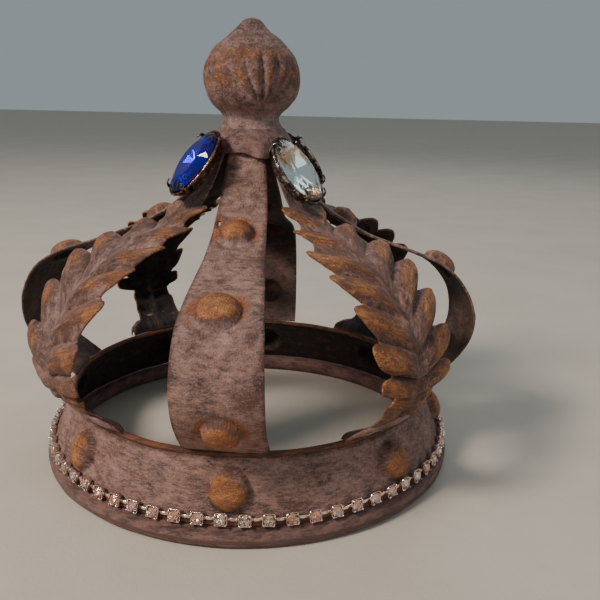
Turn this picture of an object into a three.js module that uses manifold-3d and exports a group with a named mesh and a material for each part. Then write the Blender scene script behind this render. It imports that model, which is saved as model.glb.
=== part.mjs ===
// A weathered tin crown for a shelf: a conical band on a rolled rim, eight arches that meet under
// a bud finial, four large oval stones in claw settings and a chain of small stones round the rim.
// Millimetres, +Z up. The origin is the middle of the face that the rim stands on, and the front
// strap lies on -Y.
import * as THREE from 'three';
import { mergeVertices } from 'three/addons/utils/BufferGeometryUtils.js';
import Module from 'manifold-3d';

const wasm = await Module();
wasm.setup();

// Driving dimensions
const RIM_RADIUS = 78;
const RIM_HEIGHT = 6.7;
const RIM_WIDTH = 7;
const BAND_TOP = 26.7;
const BAND_LEAN = 0.4; // how far the band leans in for each millimetre that it rises
const SHEET = 1; // thickness of the tin sheet
const GAP = 0.3; // between pieces that are soldered, glued or screwed together
const SUNK = 0.6; // how deep joined shapes reach into each other
const RING_SEGMENTS = 48;

const BAND_FOOT = RIM_HEIGHT + GAP;
const BAND_SET_BACK = 2.7; // from the rim's edge in to the band
const BAND_FOOT_RADIUS = RIM_RADIUS - BAND_SET_BACK;
const bandRadius = (z) => BAND_FOOT_RADIUS - BAND_LEAN * (z - BAND_FOOT);
const BAND_TOP_RADIUS = bandRadius(BAND_TOP);
const BAND_TILT = Math.atan(BAND_LEAN);
const HEM_RADIUS = 1.1;
const HEM_SET_BACK = 0.5; // from the band's outer face in to the middle of the hem

// The domes pressed into the tin. Angles round the crown are from the front, turning to the right.
const BOSS_HEIGHT = 4.2;
const BOSS_SIDES = 12;
const BOSS_STEPS = 3;
const BAND_BOSS = { radius: 6.6, height: 16.7, angles: [1.5, 48.5, 90, 135, 180, -135, -90, -45] };

// The arches, as the section of their outer face: distance from the axis, height
const STRAP_SECTION = [
  [14, 115], [20, 103.5], [26.5, 95.8], [34.5, 89.6], [43, 85], [52, 81.6], [61, 78.4], [69.5, 75],
  [76.6, 70.2], [81.2, 63.8], [83.4, 56], [83, 48], [80, 40.8], [75.5, 35], [71.5, 30.8], [68.1, 27.6],
];
const LEAF_SECTION = [
  [14, 115], [19, 106], [25, 98], [33.5, 93], [42.5, 90], [51.5, 86.5], [60.5, 82], [70, 75.5],
  [77, 67], [81.5, 58], [83, 49], [80.2, 41], [75.6, 34.8], [71.8, 31], [68, 27.7],
];
// How far the sheet is bent round the crown's axis, by distance along the section
const ARCH_BEND = [[0, 1], [24, 0.15], [60, 0], [95, 0.4], [128, 1]];

// The straps: half the width and share of the twist by distance along, and where the bosses are
const STRAP_HALF_WIDTH = [[0, 6.9], [22, 8.8], [48, 9.8], [67, 11.7], [80, 12.9], [104, 13.6], [130, 14.4]];
const STRAP_TWIST = [[12, 0], [35, 1], [95, 1], [120, 0]];
const STRAP_BOSSES = [[33.5, 5.6], [73.5, 6.7], [114, 6.1]]; // distance along the strap, radius
const BELLY = { from: 68, to: 78 }; // distances from the axis between which the bulge sets in
// Each strap: its angle, how far its belly bulges, and its twist in degrees
const STRAPS = [
  { side: 'front', angle: 0, bulge: 0, twist: 0 },
  { side: 'right', angle: 92, bulge: -0.8, twist: 9 },
  { side: 'back', angle: 180, bulge: 0, twist: 0 },
  { side: 'left', angle: -91, bulge: 1.4, twist: -9 },
];

// The leaves: the lobes' tips as distance along the section and half the width there
const LOBE_TIPS = [
  [23, 9.3], [34.5, 13.8], [47, 18.4], [59.5, 19.3], [73, 18.8], [86.5, 18.4], [98.5, 16.8],
];
const LOBE_RETURN = 2.8; // from a tip back up to the notch above it
const LOBE_NOTCH = 5.2; // depth of the notches
const LOBE_LEAST = 5; // least half-width in a notch
const LOBE_SHOULDER = { down: 5, in: 1 }; // from a tip to the fullest part of the lobe's lower edge
const LEAF_STEM = [[0, 3], [12, 4.5]]; // the strip under the collar: distance, half the width
const LEAF_NECK = [104, 9.5]; // the narrow place above the foot
const LEAF_FOOT = [[18, 12.5], [6, 12.5], [0, 17.3]]; // distance from the lower end, half the width
const STRETCH = { from: 60, to: 100 }; // where along the section a leaf's lower lobes are set lower
const FINGER_SLOPE = 0.8; // how far a finger climbs for each millimetre that it goes out
const FINGER_FADE = 40; // over this length above the neck
const FINGER_RELIEF = 0.9;
const MIDRIB_DEPTH = 0.9;
const ROW_LEAST = 0.8; // least distance between the leaf's rows at its lower end

// The finial: a hollow bud on a flared neck, over a skirt that covers the arches' ends
const BUD_SECTION = [
  [10, 124.3], [10.9, 126.7], [14, 129.5], [16.2, 133], [17.2, 139], [16, 144.5], [12, 150],
  [6, 155], [3, 158],
];
const BUD_TIP = 159;
const BUD_WALL = 1.2;
const BUD_FLUTES = 8;
const FLUTE_DEPTH = 0.5;
const BELLY_LOW = 127; // the flutes run between these heights
const BELLY_HIGH = 154;
const NECK_FOOT = [12, 120.8];
const SKIRT_SECTION = [[12.4, 120.5], [14.2, 118.5], [15.4, 116.2], [15.9, 114.6]];
const HUB_PLATE = { radius: 11.8, bottom: 112.4, thickness: 1.2, hole: 2 };
const SCREW = { radius: 1.5, headRadius: 3.2, headHeight: 2, length: 22 };
const NECK_PLUG = { radius: 8.2, bottom: 125, thickness: 2.6, hole: 1.9 };

// The large stones, 25 by 18 mm ovals, each above the upper end of a leaf
const STONE_LENGTH = 25;
const STONE_WIDTH = 18;
const STONE_CROWN = 2.4;
const STONE_PAVILION = 3.6;
const STONE_FACE = { radius: 27.3, height: 109.9, climb: 38 }; // middle of the table, and its tilt
const STONE_GIRDLE = 0.3; // thickness of the stone's edge
const STONE_TABLE = 0.64; // the flat top and the lower facets, as shares of the stone's outline
const STONE_CULET = { radius: 0.45, depth: 0.75 };
const SETTING_DEPTH = 7;
const SETTING_FOOT = 8; // half the length of the cup's floor
const SETTING_WALL = 0.7;
const SETTING_LIP = 0.1; // how far the cup's edge stands above the stone's
const SETTING_BEVEL = 1.6; // height of the cup's straight edge
const CLAW = { width: 1.6, thickness: 0.9, length: 4, lean: 14, angles: [38, 142, 218, 322] };

// Each corner: its angle, how far its leaf's lower lobes are set down, how far its stone is turned
// to the right and lifted, and the stone's colour
const CORNERS = [
  { side: 'front_left', angle: -45, stretch: 5, turn: -10, lift: 2, color: 0x1022b8 },
  { side: 'front_right', angle: 46.5, stretch: 0, turn: 12, lift: 0.3, color: 0xd8dde0 },
  { side: 'back_right', angle: 136.5, stretch: 0, turn: -6, lift: 1, color: 0x3c4a44 },
  { side: 'back_left', angle: -136.5, stretch: 2, turn: 6, lift: 0.5, color: 0xc98a4a },
];

// The chain of small stones in square cups, open at the back
const CHAIN_CUPS = 65;
const CHAIN_PITCH = 5.5;
const CUP_SIZE = 4;
const CUP_DEPTH = 2.2;
const CHAIN_Z = 9.05;
const SMALL_STONE = { table: 1, girdle: 1.68, rise: 0.9, sides: 6 }; // radii, and height above the cup
const LINK = { height: 1.3, thickness: 0.6, gap: 3 };

const TIN = { color: 0x8d736b, roughness: 0.7, metalness: 0.5 };
const RUSTY_TIN = { color: 0x6b4a3c, roughness: 0.8, metalness: 0.4 };
const GILDED_TIN = { color: 0x96703f, roughness: 0.6, metalness: 0.6 };
const DARK_METAL = { color: 0x3a322d, roughness: 0.4, metalness: 0.9 };
const SILVER = { color: 0xc9c4bf, roughness: 0.25, metalness: 1 };

const radians = THREE.MathUtils.degToRad;

// Merges shared vertices and drops the triangles that closed up on the axis
function weld(geometry) {
  geometry.deleteAttribute('normal');
  geometry.deleteAttribute('uv');
  const merged = mergeVertices(geometry, 1e-4);
  const index = [];
  for (let i = 0; i < merged.index.count; i += 3) {
    const [a, b, c] = [0, 1, 2].map((k) => merged.index.getX(i + k));
    if (a !== b && b !== c && c !== a) index.push(a, b, c);
  }
  merged.setIndex(index);
  merged.computeVertexNormals();
  return merged;
}

function solid(geometry) {
  const { attributes, index } = weld(geometry);
  const mesh = new wasm.Mesh({
    numProp: 3,
    vertProperties: new Float32Array(attributes.position.array),
    triVerts: new Uint32Array(index.array),
  });
  return new wasm.Manifold(mesh);
}

function geometryOf(manifold) {
  const { vertProperties, triVerts } = manifold.getMesh();
  const geometry = new THREE.BufferGeometry();
  geometry.setAttribute('position', new THREE.BufferAttribute(vertProperties, 3));
  geometry.setIndex(new THREE.BufferAttribute(triVerts, 1));
  geometry.computeVertexNormals();
  return geometry;
}

const join = (geometries) => geometryOf(geometries.map(solid).reduce((whole, next) => whole.add(next)));

// A body of revolution about Z: the section goes up on the outside
function turned(section, segments = RING_SEGMENTS) {
  const points = section.map(([r, z]) => new THREE.Vector2(r, z));
  return new THREE.LatheGeometry(points, segments).rotateX(Math.PI / 2);
}

const ring = (section, segments) => turned([...section, section[0]], segments);

// The value at s on a line through points [s, value]
function along(points, s) {
  const next = points.findIndex(([at]) => at >= s);
  if (next === -1) return points.at(-1)[1];
  if (next === 0) return points[0][1];
  const [[s0, v0], [s1, v1]] = [points[next - 1], points[next]];
  return THREE.MathUtils.mapLinear(s, s0, s1, v0, v1);
}

// The dome that a boss is, on Z, sunk a little into the sheet
function dome(radius) {
  const section = [[0, -SUNK], [radius, -SUNK]];
  for (let i = 0; i <= BOSS_STEPS; i++) {
    const angle = (i / BOSS_STEPS) * (Math.PI / 2);
    section.push([radius * Math.cos(angle), BOSS_HEIGHT * Math.sin(angle)]);
  }
  section.at(-1)[0] = 0;
  return turned(section, BOSS_SIDES);
}

// A sheet between an outer face (side 0) and an inner face (side 1), given at each row and column
function sheet(rows, columns, pointAt) {
  const positions = [];
  for (const side of [0, 1]) {
    for (let row = 0; row <= rows; row++) {
      for (let column = 0; column <= columns; column++) {
        positions.push(...pointAt(row, column, side));
      }
    }
  }
  const at = (side, row, column) => (side * (rows + 1) + row) * (columns + 1) + column;
  const index = [];
  const quad = (a, b, c, d) => index.push(a, b, c, a, c, d);
  for (let row = 0; row < rows; row++) {
    for (let column = 0; column < columns; column++) {
      const corners = [[row, column], [row + 1, column], [row + 1, column + 1], [row, column + 1]];
      quad(...corners.map(([i, j]) => at(0, i, j)));
      quad(...corners.map(([i, j]) => at(1, i, j)).reverse());
    }
    quad(at(0, row, 0), at(1, row, 0), at(1, row + 1, 0), at(0, row + 1, 0));
    quad(at(0, row + 1, columns), at(1, row + 1, columns), at(1, row, columns), at(0, row, columns));
  }
  for (let column = 0; column < columns; column++) {
    quad(at(0, 0, column + 1), at(1, 0, column + 1), at(1, 0, column), at(0, 0, column));
    quad(at(0, rows, column), at(1, rows, column), at(1, rows, column + 1), at(0, rows, column + 1));
  }
  const geometry = new THREE.BufferGeometry();
  geometry.setAttribute('position', new THREE.Float32BufferAttribute(positions, 3));
  geometry.setIndex(index);
  return geometry;
}

// An arch in the XZ plane, from under the collar down to the band. across is along Y, and the
// sheet bends round the crown's axis at both ends, to lie against the collar and the band.
function archFrame(section) {
  const curve = new THREE.SplineCurve(section.map(([r, z]) => new THREE.Vector2(r, z)));
  curve.arcLengthDivisions = 400;
  const length = curve.getLength();
  const at = (s) => {
    const u = THREE.MathUtils.clamp(s / length, 0, 1);
    const tangent = curve.getTangentAt(u);
    return { foot: curve.getPointAt(u), normal: new THREE.Vector2(-tangent.y, tangent.x), tangent };
  };
  const point = (s, across, raised) => {
    const { foot, normal } = at(s);
    const r = foot.x + normal.x * raised;
    const turn = across / foot.x;
    const share = along(ARCH_BEND, s);
    const x = r * (1 - share * (1 - Math.cos(turn)));
    const y = across * (1 - share) + share * r * Math.sin(turn);
    return [x, y, foot.y + normal.y * raised];
  };
  return { length, at, point };
}

function strapGeometry({ bulge, twist }) {
  const section = STRAP_SECTION.map(([r, z]) => {
    return [r + bulge * THREE.MathUtils.smoothstep(r, BELLY.from, BELLY.to), z];
  });
  const { length, at, point } = archFrame(section);
  const twistAt = (s) => radians(twist) * along(STRAP_TWIST, s);
  const rows = 18;
  const columns = 4;
  const strip = sheet(rows, columns, (row, column, side) => {
    const s = (row / rows) * length;
    const across = ((2 * column) / columns - 1) * along(STRAP_HALF_WIDTH, s);
    return point(s, across, -across * Math.tan(twistAt(s)) - side * SHEET);
  });
  const bosses = STRAP_BOSSES.map(([s, radius]) => {
    const { foot, tangent } = at(s);
    const tilt = Math.atan2(-tangent.y, tangent.x); // from straight up, outwards
    return dome(radius).rotateX(-twistAt(s)).rotateY(tilt).translate(foot.x, 0, foot.y);
  });
  return join([strip, ...bosses]);
}

// The leaf's rows: distance along the section at the edge, half the width there, and how high the
// row stands above the sheet halfway out (fingers up, the valleys between them down)
function leafRows(length, stretch) {
  const lobes = LOBE_TIPS.flatMap(([tip, width]) => {
    const low = tip + stretch * THREE.MathUtils.smoothstep(tip, STRETCH.from, STRETCH.to);
    return [
      [low - LOBE_RETURN, Math.max(width - LOBE_NOTCH, LOBE_LEAST), -FINGER_RELIEF / 2],
      [low, width, FINGER_RELIEF],
      [low + LOBE_SHOULDER.down, width - LOBE_SHOULDER.in, FINGER_RELIEF / 2],
    ];
  });
  const stem = LEAF_STEM.map(([s, width]) => [s, width, 0]);
  const foot = LEAF_FOOT.map(([up, width]) => [length - up, width, 0]);
  return [...stem, ...lobes.slice(0, -1), [LEAF_NECK[0] + stretch, LEAF_NECK[1], 0], ...foot];
}

function leafGeometry({ stretch }) {
  const { length, point } = archFrame(LEAF_SECTION);
  const rows = leafRows(length, stretch);
  const last = rows.length - 1;
  const halfColumns = 3;
  return weld(sheet(last, 2 * halfColumns, (row, column, side) => {
    const [edge, width, relief] = rows[row];
    const out = column / halfColumns - 1;
    const climb = FINGER_SLOPE * THREE.MathUtils.smoothstep(LEAF_NECK[0] - edge, 0, FINGER_FADE);
    const s = edge + climb * Math.min(width, edge) * (1 - Math.abs(out));
    const raised = relief * Math.sin(Math.PI * Math.abs(out)) - (out === 0 ? MIDRIB_DEPTH : 0);
    return point(Math.min(s, length - (last - row) * ROW_LEAST), out * width, raised - side * SHEET);
  }));
}

function bandGeometry() {
  const inside = SHEET / Math.cos(BAND_TILT);
  const top = BAND_TOP - HEM_RADIUS - GAP;
  const wall = ring([
    [bandRadius(BAND_FOOT) - inside, BAND_FOOT], [bandRadius(BAND_FOOT), BAND_FOOT],
    [bandRadius(top), top], [bandRadius(top) - inside, top],
  ]);
  const bosses = BAND_BOSS.angles.map((angle) => dome(BAND_BOSS.radius)
    .rotateY(Math.PI / 2 - BAND_TILT)
    .translate(bandRadius(BAND_BOSS.height), 0, BAND_BOSS.height)
    .rotateZ(radians(angle)));
  return join([wall, ...bosses]);
}

// The rolled rim, flat underneath
function rimGeometry() {
  const inner = RIM_RADIUS - RIM_WIDTH;
  const [easeIn, easeOut, edge] = [1, 2, 0.6]; // the corners' chamfers, and the outer edge's roundness
  return weld(ring([
    [inner + easeIn, 0], [RIM_RADIUS - easeOut, 0], [RIM_RADIUS - edge, easeOut * edge],
    [RIM_RADIUS, RIM_HEIGHT / 2], [RIM_RADIUS - edge, RIM_HEIGHT - easeOut * edge],
    [RIM_RADIUS - easeOut, RIM_HEIGHT], [inner + easeIn, RIM_HEIGHT],
    [inner, RIM_HEIGHT - easeIn], [inner, easeIn],
  ]));
}

function hemGeometry() {
  const sides = 8;
  const section = [...Array(sides).keys()].map((i) => {
    const angle = ((i - 0.5) * 2 * Math.PI) / sides;
    const middle = BAND_TOP_RADIUS - HEM_SET_BACK;
    return [middle + HEM_RADIUS * Math.cos(angle), BAND_TOP + HEM_RADIUS * Math.sin(angle)];
  });
  return weld(ring(section));
}

// The bud is open at the neck, and its flutes swell and fade with the belly
function budGeometry() {
  const outer = [NECK_FOOT, ...BUD_SECTION, [0, BUD_TIP]];
  const inner = [NECK_FOOT, ...BUD_SECTION].map(([r, z]) => [Math.max(r - BUD_WALL, 0), z]);
  const geometry = turned([[0, BUD_TIP - 2 * BUD_WALL], ...inner.slice(0, -1).reverse(), ...outer], 32);
  const position = geometry.attributes.position;
  for (let i = 0; i < position.count; i++) {
    const [x, y, z] = [position.getX(i), position.getY(i), position.getZ(i)];
    const rise = THREE.MathUtils.clamp((z - BELLY_LOW) / (BELLY_HIGH - BELLY_LOW), 0, 1);
    const swell = Math.sin(Math.PI * rise);
    const flute = FLUTE_DEPTH * swell * Math.cos(BUD_FLUTES * Math.atan2(y, x));
    const scale = 1 + flute / Math.max(Math.hypot(x, y), BUD_WALL);
    position.setXY(i, x * scale, y * scale);
  }
  return weld(geometry);
}

function skirtGeometry() {
  const hem = SKIRT_SECTION.at(-1);
  const inner = SKIRT_SECTION.map(([r, z]) => [r - SHEET, z === hem[1] ? z : z - SHEET / 2]);
  return weld(ring([...inner, ...SKIRT_SECTION.toReversed()], 32));
}

const washer = ({ radius, bottom, thickness, hole }) => weld(ring([
  [hole, bottom], [radius, bottom], [radius, bottom + thickness], [hole, bottom + thickness],
], 24));

function screwGeometry() {
  const head = HUB_PLATE.bottom - GAP - SCREW.headHeight;
  return weld(turned([
    [0, head], [SCREW.headRadius, head], [SCREW.headRadius, head + SCREW.headHeight],
    [SCREW.radius, head + SCREW.headHeight], [SCREW.radius, head + SCREW.length], [0, head + SCREW.length],
  ], 16));
}

// An oval made from a round section, drawn for the stone's length and narrowed across
const oval = (geometry) => geometry.scale(1, STONE_WIDTH / STONE_LENGTH, 1);

// The stone's table is at z = 0
function stoneGeometry() {
  const half = STONE_LENGTH / 2;
  return weld(oval(turned([
    [0, -STONE_CROWN - STONE_PAVILION],
    [half * STONE_CULET.radius, -STONE_CROWN - STONE_PAVILION * STONE_CULET.depth],
    [half, -STONE_CROWN - STONE_GIRDLE], [half, -STONE_CROWN], [half * STONE_TABLE, 0], [0, 0],
  ], 16)));
}

// A tapering cup with a floor and four claws that reach over the stone's edge
function settingGeometry() {
  const inner = STONE_LENGTH / 2 + 1.5 * GAP;
  const outer = inner + SETTING_WALL;
  const floor = -SETTING_DEPTH;
  const lip = -STONE_CROWN + SETTING_LIP;
  const cup = oval(turned([
    [0, floor], [SETTING_FOOT, floor], [outer, lip - SETTING_BEVEL], [outer, lip], [inner, lip],
    [inner, lip - SETTING_BEVEL], [SETTING_FOOT - SETTING_WALL / 2, floor + SETTING_WALL],
    [0, floor + SETTING_WALL],
  ], 24));
  const claws = CLAW.angles.map((angle) => {
    const x = outer * Math.cos(radians(angle));
    const y = outer * (STONE_WIDTH / STONE_LENGTH) * Math.sin(radians(angle));
    const claw = new THREE.BoxGeometry(CLAW.thickness, CLAW.width, CLAW.length);
    return claw.rotateY(radians(-CLAW.lean)).rotateZ(Math.atan2(y, x)).translate(x, y, -STONE_CROWN);
  });
  return join([cup, ...claws]);
}

// One square cup and its stone, facing +X, with the stone's table proud of the cup
function cupGeometry() {
  const cup = new THREE.BoxGeometry(CUP_DEPTH, CUP_SIZE, CUP_SIZE).translate(CUP_DEPTH / 2, 0, 0);
  const { table, girdle, rise, sides } = SMALL_STONE;
  const stone = new THREE.CylinderGeometry(table, girdle, rise + SUNK, sides);
  return [cup, stone.rotateZ(-Math.PI / 2).translate(CUP_DEPTH + (rise - SUNK) / 2, 0, 0)];
}

function chainGeometry() {
  const back = bandRadius(CHAIN_Z - CUP_SIZE / 2) + GAP;
  const pieces = [];
  for (let i = 0; i < CHAIN_CUPS; i++) {
    const turn = radians((i - (CHAIN_CUPS - 1) / 2) * CHAIN_PITCH);
    pieces.push(...cupGeometry().map((piece) => piece.translate(back, 0, CHAIN_Z).rotateZ(turn)));
    if (i < CHAIN_CUPS - 1) {
      const reach = back + LINK.thickness;
      const length = reach * radians(CHAIN_PITCH) - LINK.gap;
      const bar = new THREE.BoxGeometry(LINK.thickness, length, LINK.height);
      pieces.push(bar.translate(reach, 0, CHAIN_Z).rotateZ(turn + radians(CHAIN_PITCH / 2)));
    }
  }
  return join(pieces);
}

const crown = new THREE.Group();

function place(parent, name, geometry, finish) {
  const mesh = new THREE.Mesh(geometry, new THREE.MeshStandardMaterial(finish));
  mesh.name = name;
  parent.add(mesh);
  return mesh;
}

// A group whose +X points out at an angle from the front, turning to the right
function facing(angle) {
  const group = new THREE.Group();
  group.rotation.z = radians(angle - 90);
  crown.add(group);
  return group;
}

place(crown, 'bottom_rim', rimGeometry(), RUSTY_TIN);
place(facing(0), 'circlet_band', bandGeometry(), TIN);
place(crown, 'top_hem', hemGeometry(), RUSTY_TIN);
place(facing(0), 'rhinestone_chain', chainGeometry(), SILVER);

for (const strap of STRAPS) {
  place(facing(strap.angle), `${strap.side}_strap`, strapGeometry(strap), TIN);
}

for (const { side, angle, stretch, turn, lift, color } of CORNERS) {
  const arm = facing(angle);
  place(arm, `${side}_leaf`, leafGeometry({ stretch }), GILDED_TIN);
  const mount = new THREE.Group();
  mount.position.set(STONE_FACE.radius, 0, STONE_FACE.height + lift);
  mount.rotation.set(0, radians(90 - STONE_FACE.climb), radians(turn), 'ZYX');
  arm.add(mount);
  place(mount, `${side}_setting`, settingGeometry(), DARK_METAL);
  place(mount, `${side}_stone`, stoneGeometry(), { color, roughness: 0.05, metalness: 0 });
}

place(crown, 'finial_bud', budGeometry(), GILDED_TIN);
place(crown, 'finial_skirt', skirtGeometry(), RUSTY_TIN);
place(crown, 'hub_plate', washer(HUB_PLATE), RUSTY_TIN);
place(crown, 'finial_screw', screwGeometry(), DARK_METAL);
place(crown, 'neck_plug', washer(NECK_PLUG), DARK_METAL);

export default crown;
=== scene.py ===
import math

import bmesh
import bpy
import numpy as np
from mathutils import Matrix, Vector


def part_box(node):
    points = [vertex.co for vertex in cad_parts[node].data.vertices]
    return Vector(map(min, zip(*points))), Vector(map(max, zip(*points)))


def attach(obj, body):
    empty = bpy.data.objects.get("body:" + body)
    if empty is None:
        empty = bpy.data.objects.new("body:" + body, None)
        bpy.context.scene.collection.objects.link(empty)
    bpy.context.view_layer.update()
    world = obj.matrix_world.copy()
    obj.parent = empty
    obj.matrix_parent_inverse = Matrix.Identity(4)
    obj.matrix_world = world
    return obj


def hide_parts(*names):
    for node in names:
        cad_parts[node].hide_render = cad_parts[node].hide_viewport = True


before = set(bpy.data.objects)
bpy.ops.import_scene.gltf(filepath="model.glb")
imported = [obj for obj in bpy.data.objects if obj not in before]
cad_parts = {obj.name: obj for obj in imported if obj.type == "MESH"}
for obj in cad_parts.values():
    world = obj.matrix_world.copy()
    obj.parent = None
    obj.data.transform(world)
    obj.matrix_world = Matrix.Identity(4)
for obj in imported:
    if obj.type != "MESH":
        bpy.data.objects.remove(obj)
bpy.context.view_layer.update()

# Lengths are in millimetres until a mesh is made
MM = 0.001


def box_mm(node):
    low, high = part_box(node)
    return np.array(low) / MM, np.array(high) / MM


# ---- dimensions, from the frame
_, RIM_HIGH = box_mm("bottom_rim")
BAND_LOW, _ = box_mm("circlet_band")
HEM_LOW, HEM_HIGH = box_mm("top_hem")
CHAIN_LOW, CHAIN_HIGH = box_mm("rhinestone_chain")
RIM_RADIUS = RIM_HIGH[0]
RIM_HEIGHT = RIM_HIGH[2]
HEM_RADIUS = (HEM_HIGH[2] - HEM_LOW[2]) / 2
BAND_TOP = (HEM_HIGH[2] + HEM_LOW[2]) / 2
BAND_FOOT = BAND_LOW[2]
CHAIN_Z = (CHAIN_LOW[2] + CHAIN_HIGH[2]) / 2

BAND_LEAN = 0.4  # how far the band leans in for each millimetre that it rises
BAND_FOOT_RADIUS = RIM_RADIUS - 2.7
SHEET = 0.8  # thickness of the tin
BOSS_HEIGHT = 4.0
BAND_BOSS_RADIUS = 6.5
BAND_BOSS_Z = 16.7
# Each dome on the band: its angle, and which way (down, across) its gold has rubbed off
BAND_BOSSES = [(1.5, (-0.75, 0.7)), (48.5, (-0.9, -0.6)), (90, (0.6, 0.4)), (135, (-0.5, 0.8)),
               (180, (0.7, 0.1)), (225, (0.2, -0.8)), (270, (-0.6, 0.5)), (315, (0.1, 1.0))]

# The arches' outer faces, close to the frame's: distance from the axis, height
STRAP_SECTION = [
    (14, 115), (20, 103.5), (26.5, 95.8), (34.5, 89.6), (43, 85), (52, 81.6), (61, 78.4), (69.5, 75),
    (76.6, 70.2), (81.2, 63.8), (83.4, 56), (83, 48), (80, 40.8), (75.5, 35), (71.5, 30.8), (67.7, 27.2),
]
LEAF_SECTION = [
    (14, 115), (19, 106), (25, 98), (33.5, 93), (42.5, 90), (51.5, 86.5), (60.5, 82), (70, 75.5),
    (77, 67), (81.5, 58), (83, 49), (80.2, 41), (75.4, 35), (71.4, 31.8), (68.6, 29.9), (67.2, 27.4),
]
STRAP_HALF_WIDTH = [(0, 6.9), (22, 8.8), (48, 9.8), (67, 11.7), (80, 12.9), (104, 13.6), (130, 14.3)]
STRAP_BOSSES = [(33.5, 5.6), (73.5, 6.7), (114, 6.1)]  # distance along the strap, radius
# Each strap: its angle, how far its belly bulges, its twist in degrees, and how gilded its domes are
# The right strap's domes get less gold, a painted shade for their side away from the light.
STRAPS = [("front", 0, 0, 0, 1.0), ("right", 92, -0.8, 9, 0.45), ("back", 180, 0, 0, 0.7),
          ("left", -91, 1.4, -9, 0.8)]

# The tips of a leaf's fingers: distance along it, half the width
LOBE_TIPS = [(23, 9.3), (34.5, 13.8), (47, 18.4), (59.5, 19.3), (73, 18.8), (86.5, 18.4), (98.5, 16.8)]
LOBE_NOTCH = 5.2  # how deep the notches between them are
FINGER_CLIMB = 0.95  # how far a finger sweeps up for each millimetre of its length
LEAF_STEM = 3  # half the width at the top
LEAF_NECK = (104, 8.4)
LEAF_LIP = 17.3  # half the width of the foot
LIP_RADIUS = 68.4  # where the curled lip of a leaf's foot ends
LIP_RISE = 4.2  # how far its middle is above its ends
LIP_OUT = 4.4  # and how far outside them
TEAR = (28.0, -7.3)  # where the press tore the front strap: distance along it, across

BUD_SECTION = [
    (12, 120.8), (10.0, 124.3), (10.9, 126.7), (14, 129.5), (16.2, 133), (17.2, 139), (16, 144.5),
    (12, 150), (6, 155), (3, 158), (0, 159),
]
SKIRT_SECTION = [(11.9, 121.6), (12.9, 120.1), (14.3, 118.2), (15.4, 116.2), (16.0, 114.4)]

STONE_LENGTH = 25
STONE_WIDTH = 18
STONE_CROWN = 2.4
STONE_PAVILION = 3.6
STONE_FACE = (27.3, 109.9)  # the middle of a stone's table: distance from the axis, height
STONE_CLIMB = 38  # degrees above the horizon that the large stones face
SETTING_DEPTH = 7

CHAIN_CUPS = 65
CHAIN_PITCH = 5.5
CUP_SIZE = 4

CAMERA_PLACE = (0.0303, -0.2595, 0.1315)  # metres
CAMERA_TURN, CAMERA_DIP, CAMERA_ROLL = 3.0, 15.9, 1.27  # degrees
CAMERA_LENS = 42.06


def link(name, data):
    obj = bpy.data.objects.new(name, data)
    bpy.context.scene.collection.objects.link(obj)
    return obj


# ---- camera
def make_camera():
    """The camera: a little to the right of the front strap, looking down on the crown."""
    data = bpy.data.cameras.new("camera")
    data.lens = CAMERA_LENS
    data.sensor_width = 36
    data.shift_x = 0.010
    camera = link("camera", data)
    turn = Matrix.Rotation(math.radians(CAMERA_TURN), 4, "Z")
    pitch = Matrix.Rotation(math.radians(90 - CAMERA_DIP), 4, "X")
    roll = Matrix.Rotation(math.radians(CAMERA_ROLL), 4, "Z")
    camera.matrix_world = Matrix.Translation(CAMERA_PLACE) @ turn @ pitch @ roll
    bpy.context.scene.camera = camera


make_camera()


# ---- curves and small numbers
def smooth(x, low, high):
    t = np.clip((np.asarray(x, float) - low) / (high - low), 0, 1)
    return t * t * (3 - 2 * t)


def bell(x, middle, width):
    """1 at the middle, falling to 0 on both sides."""
    return np.exp(-(((x - middle) / width) ** 2))


def squarer(x, power):
    """A sine or cosine drawn towards the sides of a square, the more the smaller power is."""
    return math.copysign(abs(x) ** power, x)


def grid(x, y, z):
    """Points from their coordinates. A single number, row or column counts for the whole grid."""
    return np.stack(np.broadcast_arrays(x, y, z), axis=-1)


def polar(r, angle, z):
    return grid(r * np.cos(angle), r * np.sin(angle), z)


def full_turn(count):
    return np.linspace(0, 2 * math.pi, count, endpoint=False)


def spline(points, per_span):
    """Points on a curve through the given ones, evenly spaced in each span."""
    p = np.array(points, float)
    p = np.vstack([p[:1], p, p[-1:]])
    t = np.linspace(0, 1, per_span, endpoint=False)[:, None]
    spans = []
    for p0, p1, p2, p3 in zip(p, p[1:], p[2:], p[3:]):
        v1, v2 = (p2 - p0) / 2, (p3 - p1) / 2
        cubic = 2 * p1 - 2 * p2 + v1 + v2
        square = 3 * p2 - 3 * p1 - 2 * v1 - v2
        spans.append(cubic * t**3 + square * t**2 + v1 * t + p1)
    return np.vstack(spans + [p[-1:]])


def ripples(x, y, wavelength, seed, waves=7):
    """A smooth random surface between about -1 and 1, from waves in all directions."""
    rng = np.random.default_rng(seed)
    total = 0
    for _ in range(waves):
        angle, phase = rng.uniform(0, 2 * math.pi, 2)
        pitch = 2 * math.pi / (wavelength * rng.uniform(0.7, 1.6))
        total = total + np.sin(pitch * (x * math.cos(angle) + y * math.sin(angle)) + phase)
    return total / waves * 1.8


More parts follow.
